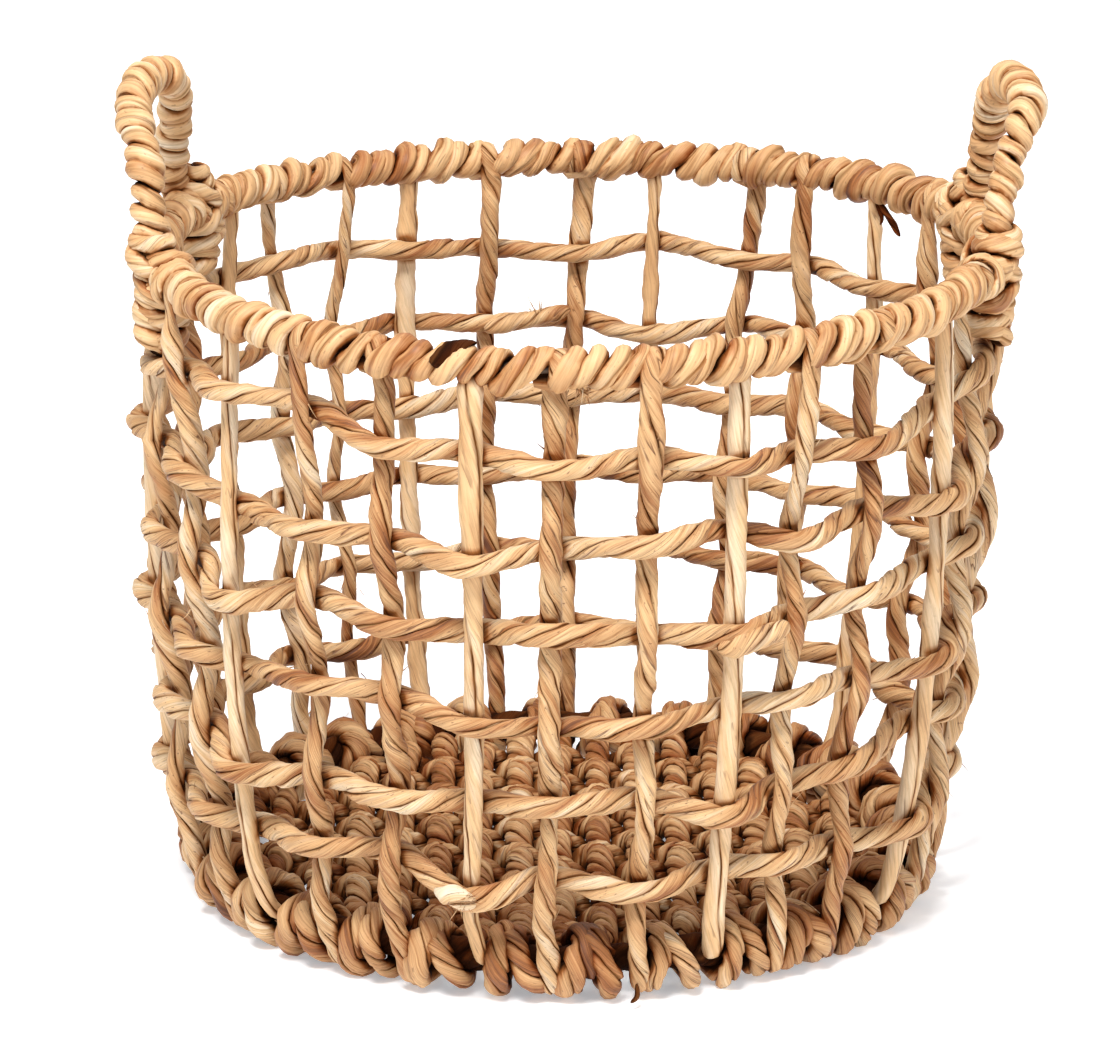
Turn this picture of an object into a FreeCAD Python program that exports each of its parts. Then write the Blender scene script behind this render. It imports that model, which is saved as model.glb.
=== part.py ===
"""Open-weave laundry basket of twisted water-hyacinth cord on a wire frame.

Millimetres, +Z up.  The origin is on the floor at the middle of the base, and the two
handles stand on the X axis.  Ten frame posts and twenty twisted stakes rise from a round
woven floor, pass alternately outside and inside six weft rows, and end on a rim hoop.
"""
import FreeCAD, Part

import math
import os

from FreeCAD import Vector

# alias, value, what it is (lengths in mm, angles in degrees)
DRIVING_SIZES = [
    ("rim_radius", 230, "rim hoop, middle of the wire"),
    ("rim_height", 355, "rim hoop above the floor"),
    ("rim_wire", 3, "radius of the rim hoop's wire"),
    ("rim_wrap_radius", 10.5, "outside radius of the cord wound round the rim"),
    ("base_radius", 190, "base hoop, middle of the wire"),
    ("base_height", 20, "base hoop above the floor"),
    ("base_wire", 3, "radius of the base hoop's wire"),
    ("foot_radius", 202, "wall radius where the stakes meet the base hoop"),
    ("wall_bulge", 9.5, "how far the wall bellies out at half height"),
    ("stake_count", 30, "uprights round the wall, posts included"),
    ("post_every", 3, "each third upright is a frame post"),
    ("stake_phase", -104.4, "direction of the first post from +X"),
    ("stake_radius", 5.6, "radius of a twisted stake"),
    ("stake_wave", 4.5, "how far a weft pushes a stake off the wall's middle"),
    ("post_wire", 2, "radius of a frame post's wire"),
    ("post_radius", 4, "outside radius of the leaf sheath on a post"),
    ("row_count", 6, "weft rows"),
    ("first_row", 74, "height of the lowest weft row"),
    ("row_pitch", 46.4, "height from row to row"),
    ("weft_radius", 5.8, "radius of a weft cord"),
    ("weft_wave", 7.5, "how far a weft swings past the wall's middle at a stake"),
    ("post_wave", 10.4, "how far a weft swings past a post"),
    ("hook_radius", 9, "bend of a stake over the rim hoop"),
    ("border_ring", 14.5, "middle radius of a border loop round the base hoop"),
    ("border_cord", 6, "radius of the border cord"),
    ("loops_per_bay", 2, "border loops between two uprights"),
    ("warp_pitch", 22, "distance between the floor cords that run front to back"),
    ("warp_count", 15, "floor cords that run front to back"),
    ("cross_pitch", 24, "distance between the floor cords that run side to side"),
    ("cross_count", 13, "floor cords that run side to side"),
    ("floor_cord", 6.2, "radius of a floor cord"),
    ("floor_wave", 6.4, "rise and fall of a floor cord at each crossing"),
    ("floor_spare", 8, "least length of a floor cord past its last crossing"),
    ("floor_height", 15, "middle of the floor mat"),
    ("handle_foot", 18, "angle from the handle's middle to each foot"),
    ("handle_rise", 107, "top of the handle's wire above the rim hoop"),
    ("handle_lean", 8, "outward lean of the handle's top past the rim"),
    ("handle_wire", 3, "radius of the handle's wire"),
    ("handle_radius", 10, "outside radius of the cord wound round the handle"),
    ("lashing_ring", 14.3, "middle radius of a lashing turn round the rim"),
    ("lashing_cord", 3.5, "radius of the lashing cord"),
    ("clearance", 0.1, "gap between a wire and the cord round it"),
]

doc = FreeCAD.newDocument("laundry_basket")
sheet = doc.addObject("Spreadsheet::Sheet", "sizes")
for row, (alias, value, note) in enumerate(DRIVING_SIZES, 1):
    sheet.set(f"A{row}", note)
    sheet.set(f"B{row}", str(value))
    sheet.setAlias(f"B{row}", alias)
doc.recompute()

UP = Vector(0, 0, 1)
subparts = []


def size(alias):
    """A driving size, read from the sheet."""
    return float(sheet.get(alias))


def bind(obj, **sizes):
    """Ties properties of an object to formulas in the sheet's aliases."""
    for name, formula in sizes.items():
        obj.setExpression(name.replace("__", "."), formula)
    return obj


def subpart(obj, label):
    """Marks an object of the document as a piece of the basket."""
    obj.Label = label
    subparts.append(obj)
    return obj


# ---------------------------------------------------------------- places on the basket

def polar(radius, angle, height):
    """The point at that radius, direction (degrees from +X) and height."""
    turn = math.radians(angle)
    return Vector(radius * math.cos(turn), radius * math.sin(turn), height)


def outward(angle):
    return polar(1, angle, 0)


def along(angle):
    """The horizontal direction that runs round the basket, anticlockwise."""
    return polar(1, angle + 90, 0)


def wall_radius(height):
    """Middle of the wall: it leans out from the foot to the rim and bellies between."""
    share = height / size("rim_height")
    lean = (size("rim_radius") - size("foot_radius")) * share
    return size("foot_radius") + lean + 4 * size("wall_bulge") * share * (1 - share)


def wall_slope(height):
    """Change of the wall's radius per millimetre of height."""
    return (wall_radius(height + 1) - wall_radius(height - 1)) / 2


def upright_angle(index):
    return size("stake_phase") + index * 360 / size("stake_count")


def is_post(index):
    return index % int(size("post_every")) == 0


def weft_is_outside(index, row):
    """Plain weave: each weft passes outside one upright and inside the next."""
    return (index + row) % 2 == 0


def row_height(row):
    return size("first_row") + row * size("row_pitch")


# ---------------------------------------------------------------- paths of tangent arcs

def arc_edge(start, direction, end):
    """The arc that leaves start in that direction and reaches end."""
    chord = end - start
    side = chord - direction * chord.dot(direction)
    if side.Length < 1e-6:
        return Part.LineSegment(start, end).toShape()
    side.normalize()
    centre = start + side * (chord.dot(chord) / (2 * chord.dot(side)))
    middle = (start - centre) + (end - centre)
    middle.normalize()
    return Part.Arc(start, centre + middle * (start - centre).Length, end).toShape()


def biarc(start, start_way, end, end_way):
    """Two arcs, tangent where they meet, between two points with given directions."""
    chord, ways = end - start, start_way + end_way
    spread = 2 * (1 - start_way.dot(end_way))
    if spread < 1e-9:
        reach = chord.dot(chord) / (4 * chord.dot(end_way))
    else:
        pull = chord.dot(ways)
        reach = (math.sqrt(pull**2 + spread * chord.dot(chord)) - pull) / spread
    joint = (start + end + (start_way - end_way) * reach) * 0.5
    second = arc_edge(end, end_way * -1, joint)
    return [arc_edge(start, start_way, joint), Part.Edge(second)]


def path_wire(stations, closed=False):
    """A wire of tangent arcs through (point, direction) stations."""
    ways = [(point, Vector(way).normalize()) for point, way in stations]
    pairs = list(zip(ways, ways[1:] + ways[:1])) if closed else list(zip(ways, ways[1:]))
    edges = [edge for (p, d), (q, e) in pairs for edge in biarc(p, d, q, e)]
    return Part.Wire(Part.__sortEdges__(edges))


def tube(name, stations, radius, closed=False):
    """A round cord of the sheet's radius swept along the stations."""
    path = doc.addObject("Part::Feature", f"{name}_path")
    path.Shape = path_wire(stations, closed)
    section = bind(doc.addObject("Part::Circle", f"{name}_section"), Radius=radius)
    point, way = stations[0]
    section.Placement = FreeCAD.Placement(point, FreeCAD.Rotation(UP, way))
    sweep = doc.addObject("Part::Sweep", name)
    sweep.Sections = [section]
    sweep.Spine = (path, [f"Edge{i + 1}" for i in range(len(path.Shape.Edges))])
    sweep.Solid = True
    return sweep


def sleeve(name, stations, outside, inside):
    """A hollow cord: the tube of one radius less the tube of another."""
    cut = doc.addObject("Part::Cut", name)
    cut.Base = tube(f"{name}_outside", stations, outside)
    cut.Tool = tube(f"{name}_inside", stations, inside)
    return cut


def group(name, members):
    """Separate solids that share one node."""
    compound = doc.addObject("Part::Compound", name)
    compound.Links = members
    return compound


# ---------------------------------------------------------------- hoops and rim winding

def hoop(label, radius, wire, height):
    ring = doc.addObject("Part::Torus", label)
    bind(ring, Radius1=radius, Radius2=wire, Placement__Base__z=height)
    return ring


def ring_round_hoop(name, ring, cord, hoop_radius, angle, height):
    """One closed turn of cord round a hoop, in the upright plane at that angle."""
    turn = bind(doc.addObject("Part::Torus", name), Radius1=ring, Radius2=cord)
    turn.Placement = FreeCAD.Placement(
        polar(hoop_radius, angle, height), FreeCAD.Rotation(UP, along(angle))
    )
    return turn


def make_rim_winding():
    """The cord wound round the rim hoop, in one length between each two uprights."""
    lengths = []
    half_stake = math.degrees(size("stake_radius") / size("rim_radius")) + 0.1
    half_wire = math.degrees(size("post_wire") / size("rim_radius")) + 0.1
    for index in range(int(size("stake_count"))):
        start = half_wire if is_post(index) else half_stake
        end = half_wire if is_post(index + 1) else half_stake
        length = doc.addObject("Part::Torus", f"rim_length_{index + 1:02d}")
        bind(length, Radius1="sizes.rim_radius", Radius2="sizes.rim_wrap_radius")
        length.Angle3 = 360 / size("stake_count") - start - end
        length.Placement = FreeCAD.Placement(
            Vector(0, 0, size("rim_height")),
            FreeCAD.Rotation(UP, upright_angle(index) + start),
        )
        lengths.append(length)
    bore = hoop("rim_bore", "sizes.rim_radius", "sizes.rim_wire + sizes.clearance",
                "sizes.rim_height")
    feet = []
    for side, foot in ((s, f) for s in (0, 180) for f in (-1, 1)):
        hole = doc.addObject("Part::Cylinder", f"foot_hole_{len(feet) + 1}")
        bind(hole, Radius="sizes.handle_wire + 4 * sizes.clearance",
             Height="2 * sizes.rim_wrap_radius")
        hole.Placement.Base = polar(
            size("rim_radius"), side + foot * size("handle_foot"), size("rim_height")
        )
        feet.append(hole)
    tools = doc.addObject("Part::MultiFuse", "rim_winding_tools")
    tools.Shapes = [bore, *feet]
    winding = doc.addObject("Part::Cut", "rim_winding")
    winding.Base = group("rim_lengths", lengths)
    winding.Tool = tools
    return winding


# ---------------------------------------------------------------- uprights

def wall_station(angle, height, offset=0.0):
    """A point on the wall, offset outwards, and the upward direction there."""
    way = outward(angle) * wall_slope(height) + UP
    return polar(wall_radius(height) + offset, angle, height), way


def stake_stations(index):
    """A stake tucks under the base hoop, weaves up the wall and hooks over the rim hoop."""
    angle, out, hook = upright_angle(index), outward(upright_angle(index)), size("hook_radius")
    under = size("foot_radius") - size("base_radius")
    stations = [
        (polar(size("base_radius"), angle, size("base_height") - under), out),
        (polar(size("foot_radius"), angle, size("base_height")), UP),
    ]
    for row in range(int(size("row_count"))):
        side = -1 if weft_is_outside(index, row) else 1
        stations.append(wall_station(angle, row_height(row), side * size("stake_wave")))
    rim, top = size("rim_radius"), size("rim_height")
    stations += [
        (polar(rim + side * hook, angle, top), UP),
        (polar(rim, angle, top + hook), out * -side),
        (polar(rim - side * hook, angle, top), UP * -1),
    ]
    return stations


def post_stations(index):
    """A post's wire leaves the base hoop outwards, then follows the wall to the rim hoop."""
    angle = upright_angle(index)
    weld = size("base_radius") + size("base_wire")
    stations = [
        (polar(weld, angle, size("base_height")), outward(angle)),
        wall_station(angle, size("base_height") + size("rim_wrap_radius")),
    ]
    stations += [wall_station(angle, row_height(r)) for r in range(0, int(size("row_count")), 2)]
    rim, top = size("rim_radius"), size("rim_height")
    stations += [
        (polar(rim, angle, top - size("rim_wrap_radius")), UP),
        (polar(rim, angle, top - size("rim_wire")), UP),
    ]
    return stations


def make_uprights():
    posts = stakes = 0
    for index in range(int(size("stake_count"))):
        if is_post(index):
            posts += 1
            stations = post_stations(index)
            subpart(tube(f"post_wire_{posts:02d}", stations, "sizes.post_wire"),
                    f"post_wire_{posts:02d}")
            sheath = sleeve(f"post_sheath_{posts:02d}", stations[1:-1], "sizes.post_radius",
                            "sizes.post_wire + sizes.clearance")
            subpart(sheath, f"post_sheath_{posts:02d}")
        else:
            stakes += 1
            subpart(tube(f"stake_{stakes:02d}", stake_stations(index), "sizes.stake_radius"),
                    f"stake_{stakes:02d}")


# ---------------------------------------------------------------- weft rows

def weft_stations(row):
    """A closed row that swings outside and inside the uprights in turn."""
    stations = []
    for index in range(int(size("stake_count"))):
        swing = size("post_wave") if is_post(index) else size("weft_wave")
        side = 1 if weft_is_outside(index, row) else -1
        angle, height = upright_angle(index), row_height(row)
        stations.append((polar(wall_radius(height) + side * swing, angle, height), along(angle)))
    return stations


def make_wefts():
    for row in range(int(size("row_count"))):
        label = f"weft_row_{row + 1}"
        subpart(tube(label, weft_stations(row), "sizes.weft_radius", closed=True), label)


# ---------------------------------------------------------------- floor and its border

def floor_lines(count, pitch):
    """Distances of the floor cords that run one way from the basket's middle line."""
    total = int(size(count))
    return [(i - (total - 1) / 2) * size(pitch) for i in range(total)]


def floor_edge(place):
    """How far a floor cord at that distance from the middle runs before the border."""
    inside = size("base_radius") - size("border_ring") - size("border_cord") - 0.4
    return math.sqrt(inside**2 - (abs(place) + size("floor_cord")) ** 2)


def floor_stations(index, lines, crossed_lines, run, across, lifted, to_border):
    """A floor cord that waves over and under the cords it crosses."""
    middle = across * lines[index] + UP * size("floor_height")
    spare = size("floor_spare")
    inside = size("base_radius") - size("border_ring") - size("border_cord")
    stations = []
    for i, place in enumerate(crossed_lines):
        if math.hypot(abs(place) + spare, abs(lines[index]) + spare) < inside:
            lift = size("floor_wave") * (1 if (i + index + lifted) % 2 else -1)
            stations.append((middle + run * place + UP * lift, run))
    last = stations[-1][0].dot(run)
    tail = floor_edge(lines[index]) - last if to_border else spare
    return [(stations[0][0] - run * tail, run), *stations, (stations[-1][0] + run * tail, run)]


def make_floor():
    front_to_back, side_to_side = Vector(0, 1, 0), Vector(1, 0, 0)
    warp_lines = floor_lines("warp_count", "warp_pitch")
    cross_lines = floor_lines("cross_count", "cross_pitch")
    for label, lines, crossed, run, across, lifted in (
        ("floor_warps", warp_lines, cross_lines, front_to_back, side_to_side, 1),
        ("floor_wefts", cross_lines, warp_lines, side_to_side, front_to_back, 0),
    ):
        cords = [
            tube(f"{label}_{i + 1:02d}",
                 floor_stations(i, lines, crossed, run, across, lifted, lifted == 1),
                 "sizes.floor_cord")
            for i in range(len(lines))
        ]
        subpart(group(label, cords), label)


def make_border():
    """Loops of thick cord round the base hoop, pressed flat where they stand."""
    bay = 360 / size("stake_count")
    share = bay / (size("loops_per_bay") + 1)
    loops = []
    for index in range(int(size("stake_count"))):
        for step in range(int(size("loops_per_bay"))):
            angle = upright_angle(index) + share * (step + 1)
            loops.append(ring_round_hoop(
                f"border_loop_{len(loops) + 1:02d}", "sizes.border_ring", "sizes.border_cord",
                size("base_radius"), angle, size("base_height")))
    ground = doc.addObject("Part::Box", "ground")
    bind(ground, Length="3 * sizes.base_radius", Width="3 * sizes.base_radius",
         Height="sizes.base_height", Placement__Base__x="-1.5 * sizes.base_radius",
         Placement__Base__y="-1.5 * sizes.base_radius", Placement__Base__z="-sizes.base_height")
    border = doc.addObject("Part::Cut", "border")
    border.Base = group("border_turns", loops)
    border.Tool = ground
    subpart(border, "border_loops")


# ---------------------------------------------------------------- handles

def handle_stations(side):
    """Half of the wire arch from its foot to its top, then the other half, mirrored."""
    rim, top, foot = size("rim_radius"), size("rim_height"), size("handle_foot")
    rise, lean = size("handle_rise"), size("handle_lean")
    out = outward(side)

    def half(turn):
        start = polar(rim, side + turn * foot, top + size("rim_wire"))
        neck = start + UP * (size("rim_wrap_radius") + size("lashing_cord"))
        shoulder = polar(rim + lean * 0.7, side + turn * foot * 0.86, top + rise * 0.62)
        towards = along(side) * -turn
        return [(start, UP), (neck, UP + out * 0.08), (shoulder, UP + towards * 0.45)]

    crown = (out * (rim + lean) + UP * (top + rise), along(side))
    back = [(point, way * -1) for point, way in reversed(half(1))]
    return [*half(-1), crown, *back]


def make_handles():
    for name, side in (("right", 0), ("left", 180)):
        stations = handle_stations(side)
        label = f"handle_wire_{name}"
        subpart(tube(label, stations, "sizes.handle_wire"), label)
        label = f"handle_wrap_{name}"
        subpart(sleeve(label, stations[1:-1], "sizes.handle_radius",
                       "sizes.handle_wire + sizes.clearance"), label)
        turns = []
        for foot in (-1, 1):
            for step in (4.6, 6.6):
                angle = side + foot * size("handle_foot") + step
                turns.append(ring_round_hoop(
                    f"lashing_{name}_{len(turns) + 1}", "sizes.lashing_ring",
                    "sizes.lashing_cord", size("rim_radius"), angle, size("rim_height")))
        subpart(group(f"lashing_{name}", turns), f"handle_lashing_{name}")


# ---------------------------------------------------------------- build, check, write

def build():
    subpart(hoop("rim_hoop", "sizes.rim_radius", "sizes.rim_wire", "sizes.rim_height"),
            "rim_hoop")
    subpart(make_rim_winding(), "rim_winding")
    subpart(hoop("base_hoop", "sizes.base_radius", "sizes.base_wire", "sizes.base_height"),
            "base_hoop")
    make_uprights()
    make_wefts()
    make_floor()
    make_border()
    make_handles()
    doc.recompute()


def check():
    """Stops before anything is written if an object failed or a piece isn't valid."""
    failed = [o.Name for o in doc.Objects if {"Invalid", "Error"} & set(o.State)]
    if failed:
        raise RuntimeError(f"these objects failed to recompute: {failed}")
    for obj in subparts:
        shape = obj.Shape
        if shape.isNull() or not shape.isValid() or not shape.Solids or shape.Volume <= 0:
            raise RuntimeError(f"{obj.Label} is not a valid solid")


def write():
    os.makedirs("parts", exist_ok=True)
    for obj in subparts:
        obj.Shape.exportStep(f"parts/{obj.Label}.step")
        print(obj.Label, len(obj.Shape.Solids), "solids", round(obj.Shape.Volume), "mm3")


build()
check()
write()
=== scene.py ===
import math

import bpy
import numpy as np
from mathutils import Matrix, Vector


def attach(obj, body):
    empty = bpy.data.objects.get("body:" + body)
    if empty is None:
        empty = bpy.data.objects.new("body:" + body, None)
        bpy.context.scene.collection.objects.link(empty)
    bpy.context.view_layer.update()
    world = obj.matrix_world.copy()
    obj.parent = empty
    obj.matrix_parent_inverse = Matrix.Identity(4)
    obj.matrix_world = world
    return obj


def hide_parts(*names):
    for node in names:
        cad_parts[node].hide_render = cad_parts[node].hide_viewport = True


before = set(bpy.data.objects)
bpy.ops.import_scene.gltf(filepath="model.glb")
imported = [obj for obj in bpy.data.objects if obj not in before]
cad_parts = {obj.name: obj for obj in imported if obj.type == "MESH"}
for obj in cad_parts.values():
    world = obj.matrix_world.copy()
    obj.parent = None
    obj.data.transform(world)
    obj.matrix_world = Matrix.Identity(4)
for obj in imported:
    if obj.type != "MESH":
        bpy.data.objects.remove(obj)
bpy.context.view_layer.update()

# Everything below is laid out in millimetres and written to Blender in metres.
MM = 0.001
TURN = 2 * math.pi

RIM_RADIUS, RIM_HEIGHT = 230.0, 355.0
BASE_RADIUS, BASE_HEIGHT = 190.0, 20.0
FOOT_RADIUS, BULGE = 202.0, 9.5
UPRIGHTS, POST_EVERY, PHASE = 30, 3, -104.4
ROWS, FIRST_ROW, ROW_PITCH = 6, 74.0, 46.4
WARPS, WARP_PITCH = 15, 22.0        # floor cords that run front to back
CROSSES, CROSS_PITCH = 13, 24.0     # floor cords that run side to side
MAT_RADIUS = 173.0                  # where the floor's cords end

# How the finished basket has settled; settle() says what each is.
BASE_SHIFT, SQUEEZE, RIM_PULL = -9.0, 0.022, 6.0
RIM_SINK, FRONT_PUSH, FRONT_PUSH_HEIGHT = 4.0, 8.0, 50
FLOOR_GAP = 0.1                     # what stands on the floor is pressed flat this far above it

STEP = 3.0                          # from point to point along a cord of the wall
PER_TURN = 20                       # points in each turn of a wound cord


# ------------------------------------------------------------------ small helpers

def drift(t, seed, waves=(1.0, 2.3, 4.7)):
    """Smooth wandering between about -1 and 1."""
    r = np.random.default_rng(seed)
    t = np.asarray(t, float)
    total = sum(np.sin(t * w + r.uniform(0, TURN)) * r.uniform(0.6, 1.0) for w in waves)
    return total / len(waves) * 1.25


def unit(v):
    v = np.asarray(v, float)
    return v / np.linalg.norm(v, axis=-1, keepdims=True)


def polar(radius, degrees, height):
    a = np.radians(degrees)
    return np.array([radius * np.cos(a), radius * np.sin(a), height], float)


def settle(points):
    """The crookedness of a basket made by hand, for points laid out on the true circle.

    The base sits a little to the left of the rim with its front pushed to the right, the wall is
    a little narrower from handle to handle, the handles have pulled the rim up beside them, and
    the back of the rim has sunk.
    """
    points = np.array(points, float)
    share = np.clip(points[:, 2] / RIM_HEIGHT, 0, 1)
    reach = np.maximum(np.hypot(points[:, 0], points[:, 1]), 1e-6)
    beside_handle = (points[:, 0] / reach) ** 2 * np.clip(reach / RIM_RADIUS, 0, 1)
    points[:, :2] *= (1 - SQUEEZE * beside_handle * share)[:, None]
    points[:, 0] += BASE_SHIFT * (1 - share)
    points[:, 2] += RIM_PULL * beside_handle * share
    points[:, 2] -= RIM_SINK * np.clip(points[:, 1] / RIM_RADIUS, 0, 1) * share**2
    points[:, 0] += FRONT_PUSH * np.clip(-points[:, 1] / FOOT_RADIUS, 0, 1) * np.clip(
        1 - points[:, 2] / FRONT_PUSH_HEIGHT, 0, 1)
    points[:, 2] = np.maximum(points[:, 2], FLOOR_GAP)
    return points


def wall_radius(height):
    share = height / RIM_HEIGHT
    return FOOT_RADIUS + (RIM_RADIUS - FOOT_RADIUS) * share + 4 * BULGE * share * (1 - share)


def smooth_path(stations, step, closed=False):
    """A curve through the stations (centripetal Catmull-Rom), resampled to an even step."""
    p = np.asarray(stations, float)
    if closed:
        p = np.vstack([p[-1], p, p[0], p[1]])
    else:
        p = np.vstack([2 * p[0] - p[1], p, 2 * p[-1] - p[-2]])
    fine = []
    for a, b, c, d in zip(p, p[1:], p[2:], p[3:]):
        t0 = 0.0
        t1 = t0 + np.linalg.norm(b - a) ** 0.5
        t2 = t1 + np.linalg.norm(c - b) ** 0.5
        t3 = t2 + np.linalg.norm(d - c) ** 0.5
        t = np.linspace(t1, t2, 24, endpoint=False)[:, None]
        ab = (t1 - t) / (t1 - t0) * a + (t - t0) / (t1 - t0) * b
        bc = (t2 - t) / (t2 - t1) * b + (t - t1) / (t2 - t1) * c
        cd = (t3 - t) / (t3 - t2) * c + (t - t2) / (t3 - t2) * d
        abc = (t2 - t) / (t2 - t0) * ab + (t - t0) / (t2 - t0) * bc
        bcd = (t3 - t) / (t3 - t1) * bc + (t - t1) / (t3 - t1) * cd
        fine.append((t2 - t) / (t2 - t1) * abc + (t - t1) / (t2 - t1) * bcd)
    fine = np.vstack(fine + [p[-2:-1]])
    run = np.concatenate([[0], np.cumsum(np.linalg.norm(np.diff(fine, axis=0), axis=1))])
    count = max(4, int(round(run[-1] / step)))
    at = np.linspace(0, run[-1], count + 1)
    if closed:
        at = at[:-1]
    return np.column_stack([np.interp(at, run, fine[:, k]) for k in range(3)])


def tangents(points, closed):
    if closed:
        return unit(np.roll(points, -1, 0) - np.roll(points, 1, 0))
    return unit(np.gradient(points, axis=0))


def carried_normals(points, closed):
    """Normals carried along the path with no twist of their own."""
    t = tangents(points, closed)
    n = np.zeros_like(points)
    first = np.cross(t[0], [0.31, 0.17, 0.93])
    n[0] = first / np.linalg.norm(first)
    for i in range(len(points) - 1):
        v = points[i + 1] - points[i]
        c = v @ v
        r = n[i] - 2 / c * (v @ n[i]) * v
        q = t[i] - 2 / c * (v @ t[i]) * v
        w = t[i + 1] - q
        d = w @ w
        n[i + 1] = r - 2 / d * (w @ r) * w if d > 1e-12 else r
    if closed:
        end = n[-1] - (n[-1] @ t[0]) * t[0]
        end /= np.linalg.norm(end)
        gap = math.atan2(np.cross(end, n[0]) @ t[0], end @ n[0])
        share = np.linspace(0, 1, len(points), endpoint=False)[:, None] * gap
        n = n * np.cos(share) + np.cross(t, n) * np.sin(share)
    return unit(n), t


# ------------------------------------------------------------------ cords as meshes

def lattice(rings, closed, u, v, tint):
    """Vertices, faces and corner coordinates of a tube from its rings of points."""
    n, m = rings.shape[:2]
    verts = rings.reshape(-1, 3)
    index = np.arange(n * m).reshape(n, m)
    upto = n if closed else n - 1
    a = index[:upto]
    b = np.roll(index, -1, 0)[:upto]
    quads = np.stack([a, np.roll(a, -1, 1), np.roll(b, -1, 1), b], -1).reshape(-1, 4)
    u_next = np.concatenate([u[1:], [u[0] + (u[-1] - u[0]) * m / (m - 1)]])
    v_next = np.concatenate([v[1:], [v[-1] + (v[-1] - v[-2])]])
    uu, un = np.tile(u, (upto, 1)), np.tile(u_next, (upto, 1))
    vv, vn = np.tile(v[:upto, None], (1, m)), np.tile(v_next[:upto, None], (1, m))
    uv = np.stack([np.stack([uu, vv], -1), np.stack([un, vv], -1),
                   np.stack([un, vn], -1), np.stack([uu, vn], -1)], 2).reshape(-1, 2)
    faces, corners = [quads], [uv]
    if not closed:
        faces.append([index[0][::-1], index[-1]])
        corners.append(np.concatenate([np.column_stack([u, np.full(m, v[0])])[::-1],
                                       np.column_stack([u, np.full(m, v[-1])])]))
    tint = np.broadcast_to(tint, (n, m, 4)).reshape(-1, 4)
    return {"verts": verts, "faces": faces, "uv": np.vstack(corners), "tint": tint}


# Each strand is a folded leaf: a steep edge that lies over its neighbour, then a long slope.
LOBE = np.array([0.0, 0.05, 0.13, 0.30, 0.50, 0.70, 0.86, 0.96])
LOBE_RISE = np.array([0.0, 0.62, 0.95, 1.0, 0.96, 0.86, 0.70, 0.42])


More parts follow.
